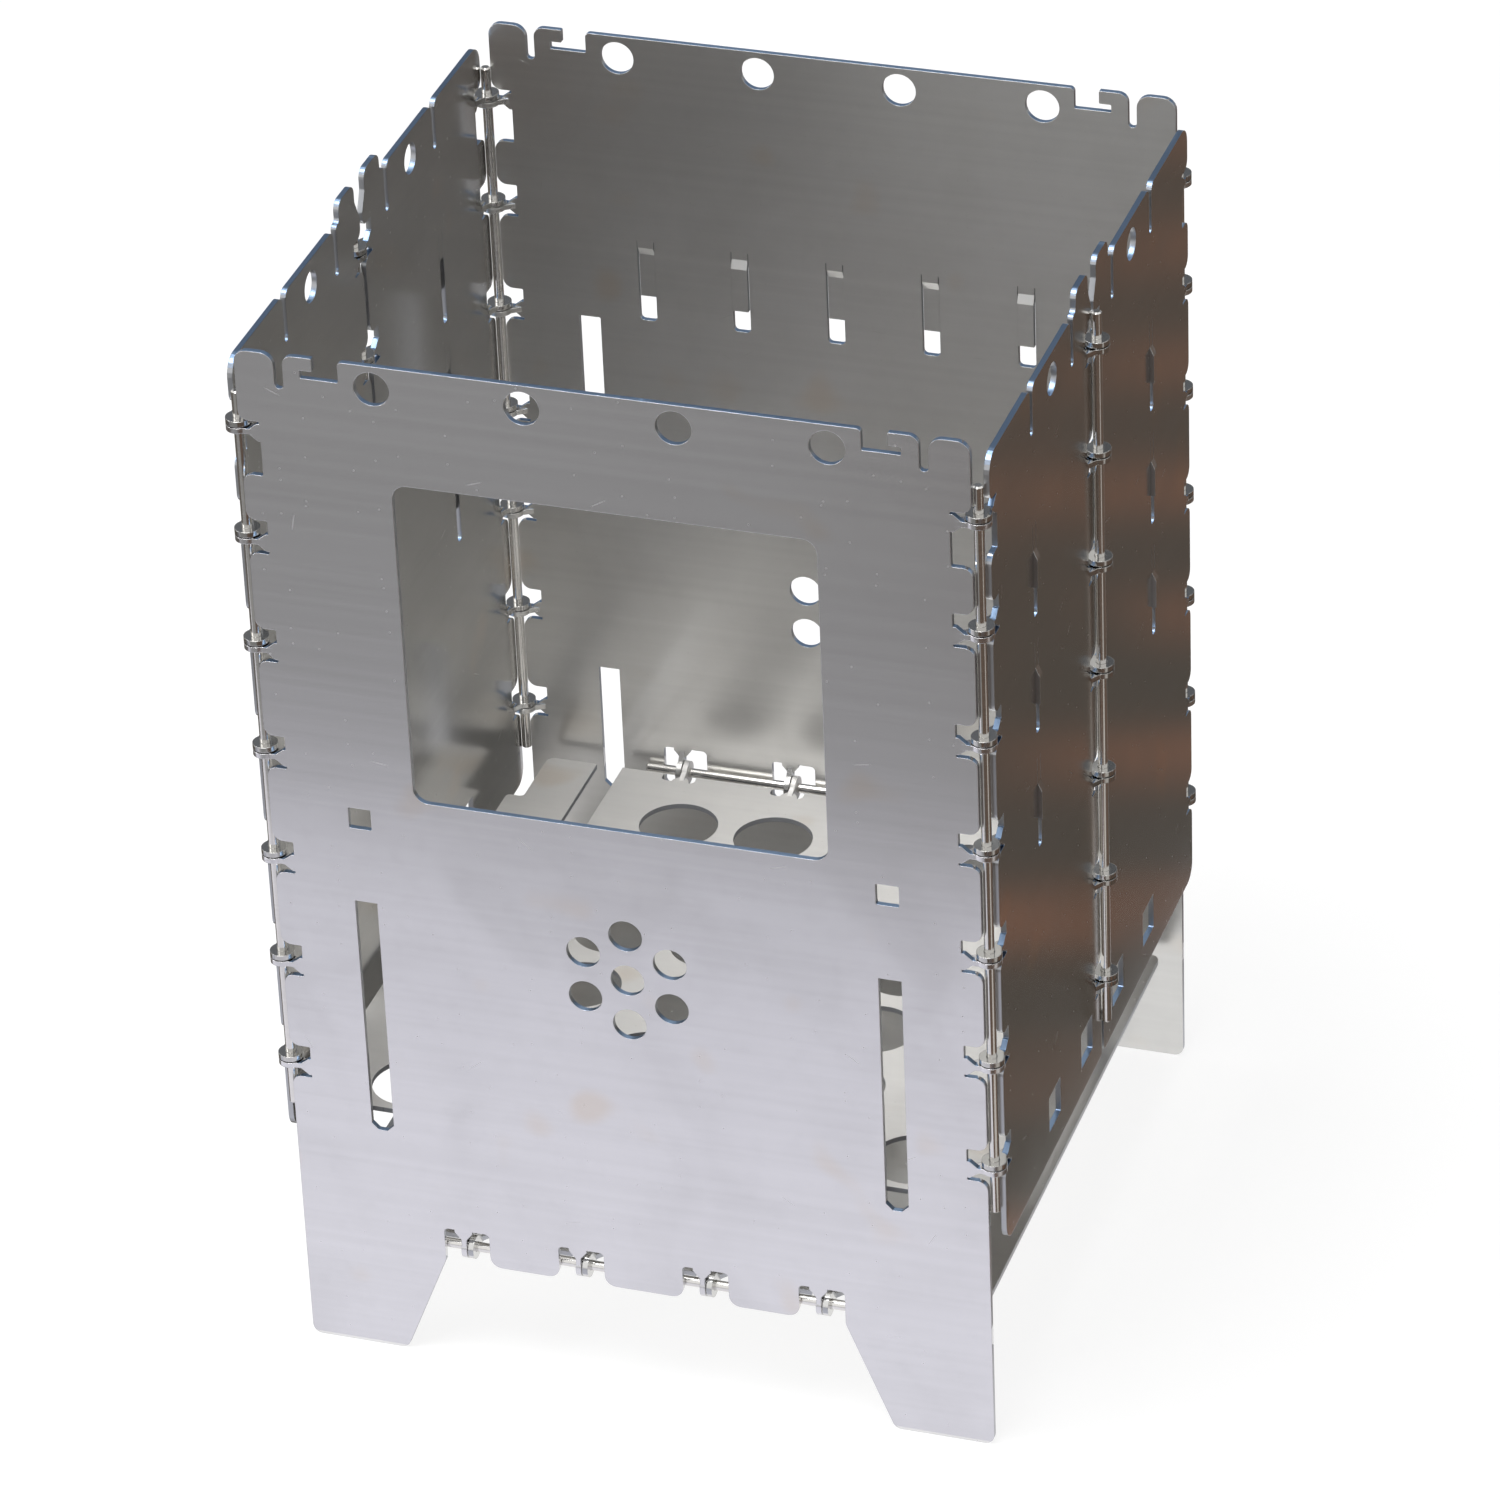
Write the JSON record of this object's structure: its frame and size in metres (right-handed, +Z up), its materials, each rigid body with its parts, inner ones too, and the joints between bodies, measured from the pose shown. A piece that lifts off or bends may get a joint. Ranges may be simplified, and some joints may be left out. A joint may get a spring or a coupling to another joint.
{
  "type": "twig stove",
  "caption": "Folding box stove of thin steel sheet with a feed window, a hinged fire grate and a hinged ash plate, joined by long rods through twisted eyes.",
  "frame": {"origin": "on the ground under the middle of the stove, between the feet", "axes": "+Z up, -Y towards the side with the feed window, +X to the right seen from that side"},
  "size_m": [0.168, 0.155, 0.2445],
  "materials": {
    "panel_steel": "satin, as rolled",
    "wall_steel": "bright rolled",
    "plate_steel": "satin, as rolled",
    "rod_steel": "bright drawn"
  },
  "bodies": {
    "front": {"front_panel": "panel_steel", "front_left_rod": "rod_steel", "front_right_rod": "rod_steel", "ash_rod": "rod_steel"},
    "left_front": {"left_front_wall": "wall_steel", "left_mid_rod": "rod_steel"},
    "left_rear": {"left_rear_wall": "wall_steel"},
    "back": {"back_panel": "panel_steel", "back_left_rod": "rod_steel", "back_right_rod": "rod_steel", "grate_rod": "rod_steel"},
    "right_front": {"right_front_wall": "wall_steel", "right_mid_rod": "rod_steel"},
    "right_rear": {"right_rear_wall": "wall_steel"},
    "grate": {"fire_grate": "plate_steel"},
    "ash": {"ash_plate": "plate_steel"}
  },
  "joints": [
    {"name": "left_front_fold", "type": "hinge", "parent": "front", "child": "left_front", "pos_m": [-0.07835, -0.07465, 0], "axis": [0, 0, -1], "range_deg": [0, 2]},
    {"name": "left_mid_fold", "type": "hinge", "parent": "left_front", "child": "left_rear", "pos_m": [-0.08135, 0, 0], "axis": [0, 0, 1], "range_deg": [0, 4]},
    {"name": "back_left_fold", "type": "hinge", "parent": "left_rear", "child": "back", "pos_m": [-0.07835, 0.07465, 0], "axis": [0, 0, -1], "range_deg": [0, 2]},
    {"name": "right_front_fold", "type": "hinge", "parent": "front", "child": "right_front", "pos_m": [0.07835, -0.07465, 0], "axis": [0, 0, 1], "range_deg": [0, 2]},
    {"name": "right_mid_fold", "type": "hinge", "parent": "right_front", "child": "right_rear", "pos_m": [0.08135, 0, 0], "axis": [0, 0, -1], "range_deg": [0, 4]},
    {"name": "grate_fold", "type": "hinge", "parent": "back", "child": "grate", "pos_m": [0, 0.07431, 0.0588], "axis": [-1, 0, 0], "range_deg": [0, 83]},
    {"name": "ash_plate_lift", "type": "hinge", "parent": "front", "child": "ash", "pos_m": [0, -0.07431, 0.0283], "axis": [1, 0, 0], "range_deg": [0, 11]}
  ],
  "couplings": [
    {"joint": "left_mid_fold", "follows": "left_front_fold", "ratio": 2},
    {"joint": "back_left_fold", "follows": "left_front_fold", "ratio": 1},
    {"joint": "right_front_fold", "follows": "left_front_fold", "ratio": 1},
    {"joint": "right_mid_fold", "follows": "left_front_fold", "ratio": 2}
  ]
}
